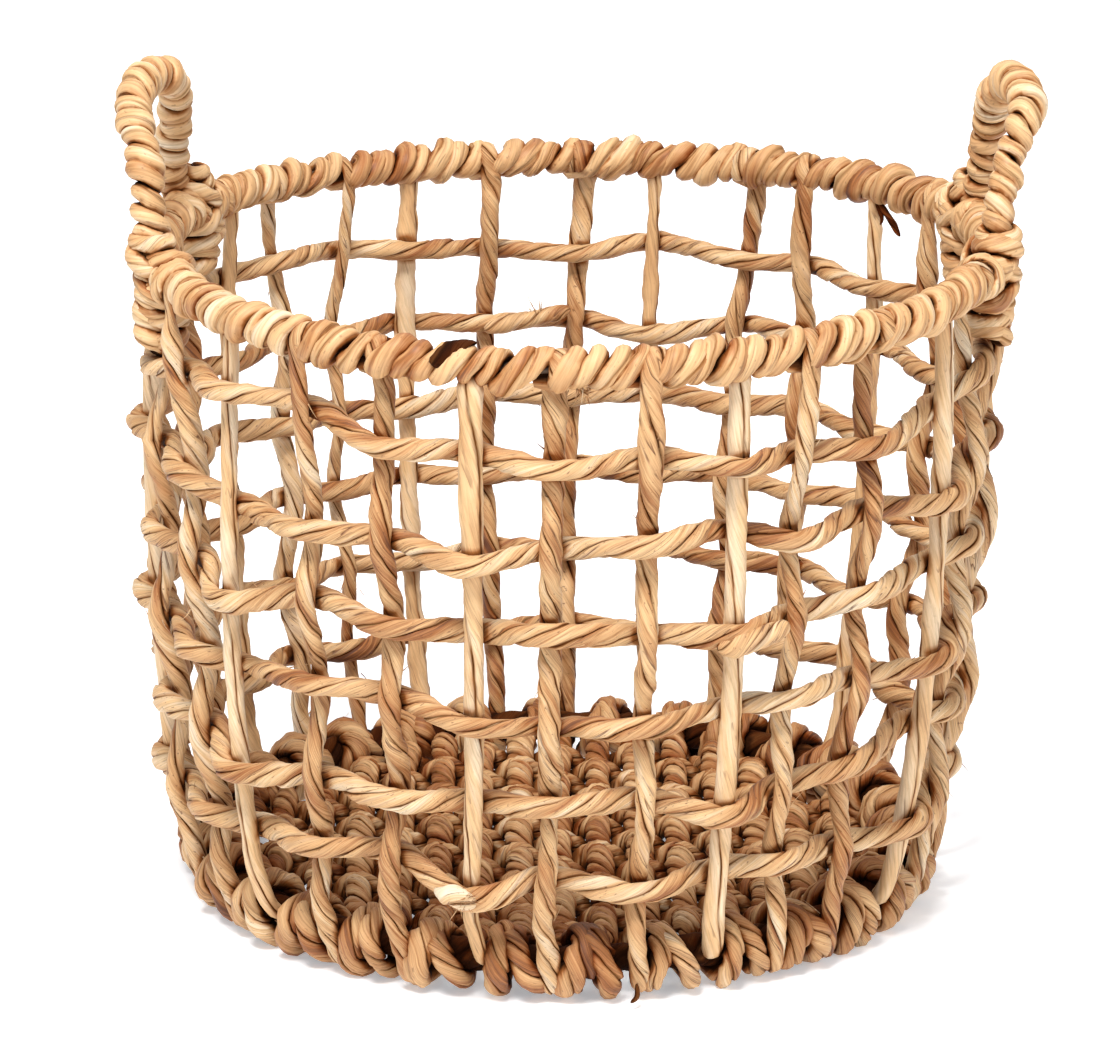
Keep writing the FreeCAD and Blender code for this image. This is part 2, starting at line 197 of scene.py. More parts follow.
def twisted(path, radius, seed, closed=False, pitch=66.0, lobes=3, groove=0.22, tone=0.5,
            dark=0.0, red=0.0, flat=0.09, taper=6.0, rough=1.0, outward=None, squash=None,
            spread=0.4, crease=1.05, shaded=0.0):
    """A cord of twisted leaf: its strands turn S-wise, and its vertices turn with them.

    Where squash is below 1 the cord is pressed flat along outward and spreads sideways.
    crease paints shade into the grooves between strands, and shaded paints shade on the side that
    faces inwards.
    """
    r = np.random.default_rng(seed)
    n, t = carried_normals(path, closed)
    b = np.cross(t, n)
    gaps = np.linalg.norm(np.diff(path, axis=0), axis=1)
    run = np.concatenate([[0], np.cumsum(gaps)])
    length = run[-1] + (np.linalg.norm(path[0] - path[-1]) if closed else 0)
    lay = run / length
    turns = max(1, round(length / pitch)) if closed else length / pitch

    def wander(key, scale, waves=(1, 2, 4)):
        if closed:      # whole waves, so that the ends meet
            whole = max(1, round(length / scale / TURN))
            return drift(lay * TURN, seed + key, tuple(whole * w for w in waves))
        return drift(run / scale, seed + key, waves)

    path = path + 0.45 * rough * (wander(31, 9)[:, None] * n + wander(32, 9)[:, None] * b)
    twist = -TURN * turns * lay + 0.6 * wander(1, 40, (1, 2, 3))
    share = np.concatenate([k + LOBE for k in range(lobes)])
    rise = np.tile(LOBE_RISE, lobes)
    theta = share / lobes * TURN
    size = radius * (1 + rough * (0.085 * wander(2, 22) + 0.03 * wander(3, 5)))
    if not closed:
        ends = np.minimum(run, run[-1] - run) / taper
        size = size * (0.3 + 0.7 * np.sqrt(np.clip(ends, 0, 1)))
    lobe_size = [1 + rough * (0.07 * wander(5 + k, 20) + 0.05 * np.tanh(4 * wander(15 + k, 9)))
                 for k in range(lobes)]
    depth = groove * (0.6 + 0.8 * r.uniform(size=lobes))
    turn_flat = r.uniform(0, TURN) + 0.9 * wander(9, 30, (1, 2, 3))
    oval = flat * (1 + 0.6 * wander(10, 25))
    under = np.zeros(len(path))
    if outward is not None:
        outward = unit(outward - np.sum(outward * t, 1, keepdims=True) * t)
        across_way = np.cross(t, outward)
        squash = np.broadcast_to(squash, (len(path),))[:, None]
    rings = np.zeros((len(path), len(share), 3))
    tint = np.zeros((len(path), len(share), 4))
    tint[:, :, 0], tint[:, :, 2] = r.uniform(), red
    tint[:, :, 3] = np.broadcast_to(tone, (len(path),))[:, None]
    for j, (th, k) in enumerate(zip(theta, (share % lobes).astype(int))):
        ang = th + twist
        here, other = lobe_size[k], lobe_size[k - 1]
        blend = 0.5 * (here + other) if share[j] % 1 == 0 else here
        drop = depth[k] * (1 - rise[j]) * (1 + 0.35 * wander(20 + k, 12))
        rr = size * blend * (1 - drop) * (1 + oval * np.cos(2 * (ang - turn_flat)))
        way = rr[:, None] * (np.cos(ang)[:, None] * n + np.sin(ang)[:, None] * b)
        if outward is not None:
            up = np.sum(way * outward, 1, keepdims=True)
            over = np.sum(way * across_way, 1, keepdims=True)
            under = np.clip(0.25 - up[:, 0] / size, 0, 1) * 0.9
            way = way + (squash - 1) * up * outward
            way = way + (1 / squash ** spread - 1) * over * across_way
        # painted shade: darker in the grooves between strands and on the side that faces inwards,
        # on top of the darkness passed in
        groove_shade = crease * (1 - rise[j]) ** 2 * np.clip(0.55 + 0.6 * wander(40 + k, 14), 0, 1)
        tint[:, j, 1] = np.clip(dark + groove_shade + under * shaded, 0, 1)
        rings[:, j] = path + way
    tube = lattice(rings, closed, share, run + r.uniform(0, 900), tint)
    away = unit(rings - path[:, None])
    along = np.broadcast_to(t[:, None], rings.shape)
    tube["frame"] = np.stack([away, along, np.cross(along, away)], 2).reshape(-1, 3, 3)
    CORDS.append((path, size))
    return tube


CORDS = []          # the middle line and thickness of every cord
TINTED = []         # the meshes whose tint is darkened in crevices at the end


def mesh_piece(name, tubes, material, nodes=()):
    """One object from several tubes, riding on the basket and standing for CAD nodes."""
    verts, tints, uvs, loops, sizes = [], [], [], [], []
    offset = 0
    for tube in tubes:
        verts.append(tube["verts"])
        tints.append(tube["tint"])
        uvs.append(tube["uv"])
        for group in tube["faces"]:
            if isinstance(group, np.ndarray):
                loops.append(group.ravel() + offset)
                sizes.append(np.full(len(group), 4))
            else:
                for face in group:
                    loops.append(face + offset)
                    sizes.append(np.array([len(face)]))
        offset += len(tube["verts"])
    verts = settle(np.vstack(verts)) * MM
    loops, sizes = np.concatenate(loops), np.concatenate(sizes)
    mesh = bpy.data.meshes.new(name)
    mesh.vertices.add(len(verts))
    mesh.vertices.foreach_set("co", verts.astype(np.float32).ravel())
    mesh.loops.add(len(loops))
    mesh.loops.foreach_set("vertex_index", loops.astype(np.int32))
    mesh.polygons.add(len(sizes))
    starts = np.concatenate([[0], np.cumsum(sizes)[:-1]])
    mesh.polygons.foreach_set("loop_start", starts.astype(np.int32))
    mesh.polygons.foreach_set("loop_total", sizes.astype(np.int32))
    mesh.polygons.foreach_set("use_smooth", np.ones(len(sizes), bool))
    layer = mesh.uv_layers.new(name="cord")
    layer.data.foreach_set("uv", np.vstack(uvs).astype(np.float32).ravel())
    tint = mesh.attributes.new("tint", "FLOAT_COLOR", "POINT")
    tint.data.foreach_set("color", np.vstack(tints).astype(np.float32).ravel())
    if all("frame" in tube for tube in tubes):
        TINTED.append((mesh, tubes))
    mesh.update(calc_edges=True)
    mesh.validate()
    mesh.materials.append(material)
    piece = bpy.data.objects.new(name, mesh)
    bpy.context.scene.collection.objects.link(piece)
    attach(piece, "root")
    if nodes:
        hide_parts(*nodes)
    return piece


# ------------------------------------------------------------------ materials

def srgb(r, g, b):
    def lin(c):
        c /= 255
        return c / 12.92 if c <= 0.04045 else ((c + 0.055) / 1.055) ** 2.4
    return (lin(r), lin(g), lin(b), 1.0)


class Nodes:
    """Short calls for building a material's nodes."""

    def __init__(self, name):
        self.material = bpy.data.materials.new(name)
        self.material.use_nodes = True
        self.tree = self.material.node_tree
        self.bsdf = self.tree.nodes["Principled BSDF"]

    def new(self, kind, **settings):
        node = self.tree.nodes.new(kind)
        for key, value in settings.items():
            setattr(node, key, value)
        return node

    def link(self, a, b):
        self.tree.links.new(a, b)

    def feed(self, socket, value):
        """Sets a socket to a plain value, or links another node's output to it."""
        if isinstance(value, (int, float, tuple)):
            socket.default_value = value
        else:
            self.link(value, socket)

    def math(self, op, a, b=None, clamp=False):
        node = self.new("ShaderNodeMath", operation=op, use_clamp=clamp)
        self.feed(node.inputs[0], a)
        if b is not None:
            self.feed(node.inputs[1], b)
        return node.outputs[0]

    def vector(self, x, y, z):
        node = self.new("ShaderNodeCombineXYZ")
        for socket, value in zip(node.inputs, (x, y, z)):
            self.feed(socket, value)
        return node.outputs[0]

    def noise(self, vector, scale=1.0, detail=3.0, rough=0.55):
        node = self.new("ShaderNodeTexNoise")
        node.inputs["Scale"].default_value = scale
        node.inputs["Detail"].default_value = detail
        node.inputs["Roughness"].default_value = rough
        self.link(vector, node.inputs["Vector"])
        return node.outputs["Fac"]

    def ramp(self, factor, *stops):
        node = self.new("ShaderNodeValToRGB")
        elements = node.color_ramp.elements
        while len(elements) < len(stops):
            elements.new(0.5)
        for element, (place, colour) in zip(elements, stops):
            element.position = place
            element.color = colour if len(colour) == 4 else (*colour, 1)
        self.link(factor, node.inputs["Fac"])
        return node.outputs["Color"]

    def range(self, value, a, b, c=0.0, d=1.0):
        node = self.new("ShaderNodeMapRange")
        self.link(value, node.inputs["Value"])
        for key, v in zip(("From Min", "From Max", "To Min", "To Max"), (a, b, c, d)):
            node.inputs[key].default_value = v
        return node.outputs["Result"]

    def mix(self, factor, a, b, blend="MIX"):
        node = self.new("ShaderNodeMix", data_type="RGBA", blend_type=blend)
        factor_at, a_at, b_at, colour_out = 0, 6, 7, 2      # the sockets that data_type RGBA uses
        self.feed(node.inputs[factor_at], factor)
        self.feed(node.inputs[a_at], a)
        self.feed(node.inputs[b_at], b)
        return node.outputs[colour_out]


PALE = srgb(229, 211, 182)
HONEY = srgb(214, 175, 127)
TAN = srgb(190, 143, 95)
RUST = srgb(156, 97, 50)
BROWN = srgb(98, 54, 26)
DARK = srgb(34, 15, 6)


def leaf_material(name, stops, fibre_scale=18.0, streaks=0.55, crease_dark=0.9, bump=0.7,
                  edge_dark=0.75, nicks=0.5):
    """Dried hyacinth leaf: fibres along the strand, streaks and blotches, with painted shade in
    the folds and wherever the tint carries it.
    """
    m = Nodes(name)
    uv = m.new("ShaderNodeUVMap", uv_map="cord")
    split = m.new("ShaderNodeSeparateXYZ")
    m.link(uv.outputs["UV"], split.inputs[0])
    u, v = split.outputs[0], split.outputs[1]
    attr = m.new("ShaderNodeAttribute", attribute_name="tint")
    parts = m.new("ShaderNodeSeparateColor")
    m.link(attr.outputs["Color"], parts.inputs[0])
    own, dark, red = parts.outputs[0], parts.outputs[1], parts.outputs[2]
    tone = attr.outputs["Alpha"]
    strand = m.math("FLOOR", u)
    seed = m.math("ADD", m.math("MULTIPLY", own, 61.0), m.math("MULTIPLY", strand, 7.31))
    slant = m.math("ADD", u, m.math("MULTIPLY", v, 0.011))
    fibre = m.noise(m.vector(m.math("MULTIPLY", slant, fibre_scale),
                             m.math("MULTIPLY", v, 0.045), seed), detail=4.0, rough=0.65)
    streak = m.noise(m.vector(m.math("MULTIPLY", slant, fibre_scale * 0.27),
                              m.math("MULTIPLY", v, 0.022), m.math("ADD", seed, 13.0)),
                     detail=3.0, rough=0.6)
    patch = m.noise(m.vector(m.math("MULTIPLY", u, 0.9), m.math("MULTIPLY", v, 0.014),
                             m.math("ADD", seed, 29.0)), detail=2.0, rough=0.5)
    level = m.math("ADD", m.math("MULTIPLY", m.math("SUBTRACT", patch, 0.5), 1.5),
                   m.math("MULTIPLY", m.math("SUBTRACT", streak, 0.5), 0.95))
    level = m.math("ADD", level, m.math("MULTIPLY", m.math("SUBTRACT", fibre, 0.5), 0.5))
    level = m.math("ADD", level, tone)
    colour = m.ramp(level, *stops)
    redness = m.math("MULTIPLY", m.range(streak, 0.52, 0.72), m.math("ADD", red, streaks),
                     clamp=True)
    colour = m.mix(redness, colour, RUST)
    lines = m.range(fibre, 0.32, 0.55, 0.78, 1.04)
    colour = m.mix(1.0, colour, m.vector(lines, lines, lines), "MULTIPLY")

    # leaf edges: long thin lines that follow the strand, and short nicks
    ridge = m.noise(m.vector(m.math("MULTIPLY", slant, 2.6), m.math("MULTIPLY", v, 0.011),
                             m.math("ADD", seed, 47.0)), detail=1.5, rough=0.5)
    ridge = m.math("FRACT", m.math("MULTIPLY", ridge, 4.5))
    edge = m.math("MULTIPLY", m.range(ridge, 0.88, 0.97), m.range(ridge, 1.0, 0.985))
    broken = m.noise(m.vector(m.math("MULTIPLY", slant, 1.7), m.math("MULTIPLY", v, 0.07),
                              m.math("ADD", seed, 59.0)), detail=1.0)
    edge = m.math("MULTIPLY", edge, m.range(broken, 0.47, 0.56, 0.0, 1.0))
    nick = m.noise(m.vector(m.math("MULTIPLY", slant, 9.0), m.math("MULTIPLY", v, 0.42),
                            m.math("ADD", seed, 71.0)), detail=2.0, rough=0.5)
    nick = m.range(nick, 0.66, 0.72)
    marks = m.math("MAXIMUM", m.math("MULTIPLY", edge, edge_dark), m.math("MULTIPLY", nick, nicks),
                   clamp=True)
    colour = m.mix(marks, colour, BROWN)
    # painted shade: the fold between two strands is darkened towards DARK
    fold = m.math("FRACT", u)
    fold = m.math("MINIMUM", fold, m.math("SUBTRACT", 1.0, fold))
    wide = m.range(streak, 0.35, 0.65, 0.05, 0.12)
    depth = m.math("SUBTRACT", 1.0, m.math("DIVIDE", fold, wide), clamp=True)
    depth = m.math("MULTIPLY", depth, m.range(patch, 0.35, 0.6, 1.0, 0.55))
    colour = m.mix(m.math("MULTIPLY", depth, crease_dark, clamp=True), colour, DARK)
    # the tint's dark channel holds the cord's own dark colour together with painted shade from
    # grooves, inward sides, dips and crevices: first warmer, then towards DARK
    colour = m.mix(m.range(dark, 0.02, 0.45), colour, (0.60, 0.36, 0.22, 1), "MULTIPLY")
    colour = m.mix(m.range(dark, 0.3, 0.95, 0.0, 0.96), colour, DARK)
    m.link(colour, m.bsdf.inputs["Base Color"])
    rough = m.range(streak, 0.3, 0.7, 0.45, 0.66)
    m.link(rough, m.bsdf.inputs["Roughness"])
    m.link(m.range(m.math("MAXIMUM", dark, depth), 0.0, 0.5, 0.42, 0.02),
           m.bsdf.inputs["Specular IOR Level"])
    height = m.math("ADD", m.math("MULTIPLY", fibre, 0.55), m.math("MULTIPLY", streak, 0.9))
    height = m.math("SUBTRACT", height, m.math("MULTIPLY", edge, 0.5))
    node = m.new("ShaderNodeBump")
    node.inputs["Strength"].default_value = bump
    node.inputs["Distance"].default_value = 0.0018
    m.link(height, node.inputs["Height"])
    m.link(node.outputs["Normal"], m.bsdf.inputs["Normal"])
    return m.material


WALL_STOPS = ((0.0, BROWN), (0.2, RUST), (0.4, TAN), (0.62, HONEY), (0.95, PALE))
stake_leaf = leaf_material("stake_leaf", WALL_STOPS, edge_dark=0.85, nicks=0.65)
weft_leaf = leaf_material("weft_leaf", WALL_STOPS, edge_dark=0.85, nicks=0.65)
post_leaf = leaf_material("post_leaf", ((0.0, TAN), (0.45, HONEY), (1.0, PALE)),
                          fibre_scale=12.0, streaks=0.25, crease_dark=0.7, bump=0.45,
                          edge_dark=0.5, nicks=0.12)
wrap_leaf = leaf_material("wrap_leaf", ((0.0, BROWN), (0.18, RUST), (0.38, TAN), (0.68, HONEY),
                                        (1.1, PALE)),
                          fibre_scale=10.0, streaks=0.3, crease_dark=0.5, bump=0.5,
                          edge_dark=0.45, nicks=0.4)
base_leaf = leaf_material("base_leaf", ((0.0, BROWN), (0.25, RUST), (0.48, TAN), (0.74, HONEY),
                                        (1.1, PALE)), streaks=0.6)


def wire_material():
    m = Nodes("frame_wire")
    at = m.new("ShaderNodeTexCoord").outputs["Object"]
    rust = m.noise(at, scale=220.0, detail=4.0)
    m.link(m.ramp(rust, (0.35, srgb(70, 62, 56)), (0.65, srgb(112, 82, 60))),
           m.bsdf.inputs["Base Color"])
    m.link(m.range(rust, 0.3, 0.7, 0.4, 0.7), m.bsdf.inputs["Roughness"])
    m.bsdf.inputs["Metallic"].default_value = 0.7
    return m.material


frame_wire = wire_material()


# ------------------------------------------------------------------ the uprights

def upright_angle(index):
    return PHASE + index * 360 / UPRIGHTS


def is_post(index):
    return index % POST_EVERY == 0


def weft_is_outside(index, row):
    return (index + row) % 2 == 0


def row_height(row):
    return FIRST_ROW + row * ROW_PITCH


# How far each upright wanders round the wall, in mm at the rim, three heights and the base.
SWAY_HEIGHTS = (355, 260, 190, 110, 40)
SWAY = {
    26: (-14, 2, 12, 9, 8), 27: (-3, -4, -6, -3, 0), 28: (5, 9, 12, 11, 6), 29: (2, 8, 12, 13, 8),
    0: (6, 8, 9, 9, 6), 1: (0, 1, 2, 3, 0), 2: (0, 3, 4, 6, 4), 3: (0, 2, 4, 4, 4),
    4: (-10, -13, -10, -10, -2), 5: (-12, -12, -13, -12, -6), 6: (5, 8, 11, 12, 6),
    11: (-5, -3, 0, 0, 0), 12: (8, 7, 6, 4, 2), 13: (9, 12, 10, 6, 3), 14: (0, 6, 9, 6, 3),
    15: (10, 11, 10, 8, 4), 16: (3, 6, 9, 8, 4), 17: (11, 10, 9, 6, 3), 18: (10, 12, 11, 8, 4),
    19: (6, 9, 9, 6, 3), 20: (7, 2, -3, 0, 0),
}
# Uprights much thinner or thicker than the rest: share of the usual size at base and rim.
THICK = {0: (0.82, 1.25), 1: (1.0, 1.08), 4: (0.95, 0.9), 12: (0.95, 0.9), 15: (0.78, 0.78),
         18: (0.95, 1.12), 19: (0.78, 0.72), 21: (0.9, 0.85), 27: (0.9, 0.78), 28: (0.95, 0.9)}
# Stakes that are broad flat leaf towards the rim.
FLAT_STAKES = (2, 8, 13, 16, 20, 25)
# How far each weft row rises or sags at an upright, lowest row first.
SAG = (
    {28: 4, 29: 5, 0: -10, 1: 0, 2: -5, 3: -3, 4: -2, 5: -5, 6: -7},
    {27: -12, 28: -4, 29: -5, 0: -6, 1: -3, 2: -4, 3: -13, 4: -6, 5: -1, 6: 0},
    {27: -3, 28: 5, 29: 4, 0: -3, 1: -5, 2: -4, 3: -3, 4: 1, 5: 0, 6: -7},
    {27: -9, 28: 3, 29: -3, 0: -4, 1: 0, 2: -3, 3: -3, 4: -4, 5: 0, 6: -3},
    {27: -7, 28: -3, 29: -3, 0: -10, 1: -4, 2: 1, 3: 2, 4: -6, 5: -2, 6: -9,
     15: -7, 16: -3, 17: -3, 18: -2},
    {26: 8, 27: 12, 28: 12, 29: 3, 0: 1, 1: -2, 2: 0, 3: -6, 4: -7, 5: -10, 6: -9,
     11: -8, 12: -10, 13: -7, 14: -6, 15: -4, 16: -8, 17: -5, 18: 1, 19: 2, 20: 5},
)


def sway(index, height):
    """Degrees by which an upright has wandered from its place at that height."""
    index %= UPRIGHTS
    loose = 0.35 * float(drift(height / 70, 400 + index, (0.6, 1.1, 1.9)))
    wander = np.interp(height, SWAY_HEIGHTS[::-1], SWAY.get(index, (0,) * 5)[::-1])
    return loose + math.degrees(wander / RIM_RADIUS)


def crossing_height(index, row):
    """Where a weft row crosses an upright."""
    index %= UPRIGHTS
    loose = 2.2 * float(drift(index * 0.9, 50 + row, (0.3, 0.9, 1.7)))
    return row_height(row) + SAG[row].get(index, 0.0) + loose


def thickness(index, path):
    """The share of its usual size an upright has along its path."""
    return np.interp(path[:, 2], (BASE_HEIGHT, RIM_HEIGHT), THICK.get(index, (1.0, 1.0)))


def stake_side(index):
    """1 if the stake reaches the rim from outside, -1 from inside."""
    return -1 if weft_is_outside(index, ROWS - 1) else 1


def stake_path(index):
    angle = upright_angle(index)
    at = lambda radius, z: polar(radius, angle + sway(index, z), z)
    points = [at(191, 8.5), at(199, 9.5), at(204, 22), at(wall_radius(46) + 1, 46)]
    for row in range(ROWS):
        side = -1 if weft_is_outside(index, row) else 1
        z = crossing_height(index, row)
        points.append(at(wall_radius(z) + side * 5.2, z))
    side, hook = stake_side(index), 8.0
    for turn in (-20, 10, 40, 75, 115, 155, 195, 235, 265):
        a = math.radians(turn)
        slip = 1.5 * (turn + 20) / 285          # the hook runs on a little round the rim
        points.append(polar(RIM_RADIUS + side * hook * math.cos(a),
                            angle + sway(index, RIM_HEIGHT) + slip,
                            RIM_HEIGHT + hook * math.sin(a)))
    return smooth_path(points, STEP)


def stake_cord(index, seed, tone):
    """A stake; some are broad flat leaf near the rim, and all are pressed flat over it."""
    path = stake_path(index)
    reach = np.hypot(path[:, 0], path[:, 1])[:, None]
    centre = np.hstack([path[:, :2] / reach * RIM_RADIUS, np.full((len(path), 1), RIM_HEIGHT)])
    off = path - centre
    near = np.clip((28 - np.linalg.norm(off, axis=1)) / 14, 0, 1)
    leafy = 0.35 if index in FLAT_STAKES else 0.0
    high = np.clip((path[:, 2] - 230) / 80, 0, 1)
    squash = 1 - np.maximum(0.45 * near, leafy * high)
    size = 5.6 * (1 - 0.08 * near) * thickness(index, path)
    return twisted(path, size, seed, groove=0.25, tone=tone + 0.25 * leafy, outward=unit(off),
                   squash=squash, lobes=2 if leafy else 3, pitch=90 if leafy else 66)


def post_path(index):
    angle = upright_angle(index)
    at = lambda radius, z: polar(radius, angle + sway(index, z), z)
    points = [at(193, 20), at(200, 24), at(wall_radius(46) - 1, 44)]
    points += [at(wall_radius(row_height(r)), row_height(r)) for r in range(ROWS)]
    points += [at(RIM_RADIUS, RIM_HEIGHT - 12), at(RIM_RADIUS, RIM_HEIGHT - 3)]
    return smooth_path(points, STEP + 1)


cord_paths = []         # the wall's cords, for the frayed fibres further down
posts = stakes = 0
for index in range(UPRIGHTS):
    if is_post(index):
        posts += 1
        path = post_path(index)
        behind = math.sin(math.radians(upright_angle(index))) > 0
        tube = twisted(path, 5.3 * thickness(index, path), 700 + index, pitch=260, lobes=2,
                       groove=0.12, tone=0.46 if behind else 0.6, flat=0.10,
                       rough=1.3 if behind else 0.6)
        mesh_piece(f"leaf_post_{posts:02d}", [tube], post_leaf,
                   (f"post_sheath_{posts:02d}", f"post_wire_{posts:02d}"))
    else:
        stakes += 1
        tube = stake_cord(index, 100 + 11 * index, 0.46 + 0.2 * float(drift(index, 3)))
        cord_paths.append(stake_path(index)[8:-16])
        mesh_piece(f"twisted_stake_{stakes:02d}", [tube], stake_leaf,
                   (f"stake_{stakes:02d}",))


# ------------------------------------------------------------------ the weft rows

WEFT_START = 13         # each row's ends meet at the back
TIGHT = {7: 0.8, 8: 0.55, 9: 0.45, 10: 0.6, 24: 0.85}      # bays woven tighter than the rest


def weft_path(row):
    points = []
    for index in range(WEFT_START, WEFT_START + UPRIGHTS):
        index %= UPRIGHTS
        side = 1 if weft_is_outside(index, row) else -1
        swing = (9.6 if is_post(index) else 6.6) * TIGHT.get(index, 1.0)
        z = crossing_height(index, row)
        points.append(polar(wall_radius(z) + side * swing,
                            upright_angle(index) + sway(index, z), z))
    return smooth_path(points, STEP, closed=True)


for row in range(ROWS):
    path = weft_path(row)
    cord_paths.append(path)
    tone = 0.5 + 0.12 * drift(np.linspace(0, TURN, len(path)), 900 + row, (3, 5, 9))
    tube = twisted(path, 6.0, 1000 + 17 * row, closed=True, pitch=70, tone=tone, groove=0.25)
    mesh_piece(f"twisted_weft_{row + 1}", [tube], weft_leaf, (f"weft_row_{row + 1}",))


# ------------------------------------------------------------------ the rim

def plain_tube(path, radius):
    """A smooth closed wire."""
    sides = 10
    n, t = carried_normals(path, True)
    b = np.cross(t, n)
    theta = np.arange(sides) / sides * TURN
    rings = path[:, None] + radius * (np.cos(theta)[:, None] * n[:, None]
                                      + np.sin(theta)[:, None] * b[:, None])
    return lattice(rings, True, theta, np.arange(len(path)) * 4.0, (0.5, 0, 0, 0.5))


WRAP_PITCH = 2.6        # degrees from turn to turn
# Lumps where a new length of cord begins: degrees round the rim, size in mm.
LUMPS = ((114.0, 2.6), (109.5, 3.2), (83.4, 2.4), (70.0, 2.2), (62.0, 3.0), (45.0, 2.2),
         (38.0, 2.4), (30.0, 2.2), (236.0, 1.6), (262.0, 1.8), (287.0, 1.6))


def rim_wrap():
    """One cord wound round the rim hoop, jumping each stake's hook on the underside."""
    r = np.random.default_rng(12)
    at_rim = lambda i: upright_angle(i) + sway(i, RIM_HEIGHT)
    psi, alpha = [], []
    turn = 0
    for index in range(UPRIGHTS):
        clear = 0.2 if is_post(index) else 1.3
        after = 0.2 if is_post(index + 1) else 1.3
        start, end = at_rim(index) + clear, at_rim(index + 1) - after
        turns = max(2, round((end - start) / WRAP_PITCH))
        local = np.arange(turns * PER_TURN) / (turns * PER_TURN)
        psi.append(turn + local * turns)
        uneven = r.uniform(-0.035, 0.035, 3)
        local = local + sum(u * np.sin(TURN * (k + 1) * local) for k, u in enumerate(uneven))
        jump = 0.5 / turns
        moved = np.clip((local - jump * 0.25) / (1 - jump * 0.5), 0, 1)
        alpha.append(start + (end - start) * moved)
        turn += turns
    psi = np.concatenate(psi) - 0.25
    alpha = np.concatenate(alpha)
    around = psi * TURN
    slant = (1.05 + 0.3 * drift(psi * 0.7, 6)) * np.sin(around)
    lump = sum(size * np.exp(-(((alpha - PHASE) % 360 - (place - PHASE) % 360) / 1.5) ** 2)
               for place, size in LUMPS)
    alpha_at = alpha + 0.2 * drift(alpha / 5, 5, (1.0, 2.3, 5.1))
    alpha_at = alpha_at - slant * np.sin(np.radians(alpha))
    radius = 6.3 + 0.8 * drift(psi * 1.6, 8, (0.7, 1.7, 3.1)) + 0.6 * lump
    radius = radius - 0.9 * np.clip(np.sin(np.radians(alpha)), 0, 1)
    ca, sa = np.cos(np.radians(alpha_at)), np.sin(np.radians(alpha_at))
    out = np.column_stack([ca * np.cos(around), sa * np.cos(around), np.sin(around)])
    centre = np.column_stack([RIM_RADIUS * ca, RIM_RADIUS * sa, np.full(len(ca), RIM_HEIGHT)])
    spacing = np.gradient(alpha, psi) * math.radians(1) * RIM_RADIUS
    half = PER_TURN // 2
    spacing = np.convolve(np.pad(spacing, half, mode="wrap"),
                          np.ones(2 * half + 1) / (2 * half + 1), "valid")
    size = np.clip(0.49 * spacing, 4.3, 6.0)
    size = size + 0.6 * drift(psi * 1.7, 21, (0.8, 1.9, 3.3)) + 0.4 * lump
    tone = 0.47 + 0.1 * drift(psi * 0.45, 23)
    return [twisted(centre + out * radius[:, None], size, 31, tone=tone, pitch=150, lobes=2,
                    outward=out, squash=1.0, groove=0.13, shaded=1.3, rough=1.5,
                    crease=0.35)]


mesh_piece("rim_wrap", rim_wrap(), wrap_leaf, ("rim_winding",))
circle = np.array([polar(RIM_RADIUS, a, RIM_HEIGHT)
                   for a in np.linspace(0, 360, 240, endpoint=False)])
mesh_piece("rim_wire", [plain_tube(circle, 3.0)], frame_wire, ("rim_hoop",))


# ------------------------------------------------------------------ the base border

def border_loops():
    """Two closed loops round the base hoop in each bay, leaning apart, over a core painted dark as
    shade.
    """
    tubes = []
    bay = 360 / UPRIGHTS
    for index in range(UPRIGHTS):
        for step in (1, 2):
            seed = 2000 + index * 2 + step
            r = np.random.default_rng(seed)
            angle = upright_angle(index) + bay * step / 3 + r.uniform(-0.4, 0.4)
            tilt = (1 if step == 1 else -1) * r.uniform(6, 30) + r.uniform(-5, 5)
            ring = 13.6 + r.uniform(-0.9, 0.8)
            around = np.linspace(0, TURN, 30, endpoint=False) + 1.4 * math.pi   # starts underneath
            out = polar(1, angle, 0)
            side = polar(1, angle + 90, 0)
            up = np.array([0, 0, 1.0])
            way = unit(up * math.cos(math.radians(tilt)) + side * math.sin(math.radians(tilt)))
            path = (BASE_RADIUS * out + BASE_HEIGHT * up
                    + ring * (np.cos(around)[:, None] * out + np.sin(around)[:, None] * way))
            thick = 6.8 + r.uniform(-1.4, 1.0)
            spokes = np.cos(around)[:, None] * out + np.sin(around)[:, None] * way
            tubes.append(twisted(path, thick, seed, closed=True, pitch=42, groove=0.38,
                                 tone=0.46 + r.uniform(-0.18, 0.18), lobes=3, outward=spokes,
                                 squash=1.0, shaded=1.3, rough=1.7, red=0.3))
    # the core that shows between the loops is painted almost black: painted shade
    around = np.linspace(0, 360, 420, endpoint=False)
    core = np.array([polar(BASE_RADIUS, a, BASE_HEIGHT + 1) for a in around])
    tubes.append(twisted(core, 8.0, 2999, closed=True, pitch=60, tone=0.3, dark=0.8))
    return tubes


mesh_piece("border_coil", border_loops(), base_leaf, ("border_loops", "base_hoop"))


# ------------------------------------------------------------------ the floor

def floor_rope(place, crossed, along_y, first_up, seed, radius, wave, height):
    """One cord of the floor, over and under the cords it crosses."""
    reach = math.sqrt(MAT_RADIUS**2 - (abs(place) + radius) ** 2)
    stations = [(-reach, 0.0)]
    for i, c in enumerate(crossed):
        if abs(c) < reach - 6:
            stations.append((c, wave if (i + first_up) % 2 else -wave))
    stations.append((reach, 0.0))
    points = []
    for s, lift in stations:
        x, y = (place, s) if along_y else (s, place)
        points.append((x, y, height + lift))
    path = smooth_path(points, STEP)
    # painted shade where the rope dips under the cords it crosses; shaded paints shade on its
    # underside
    dip_shade = np.clip((height + 1.5 - path[:, 2]) / wave, 0, 1) * 0.35
    return twisted(path, radius, seed, pitch=29, groove=0.36, dark=dip_shade, shaded=1.7,
                   tone=0.5 + 0.12 * float(drift(seed, 9)), taper=8, squash=1.0,
                   outward=np.tile([0.0, 0.0, 1.0], (len(path), 1)))


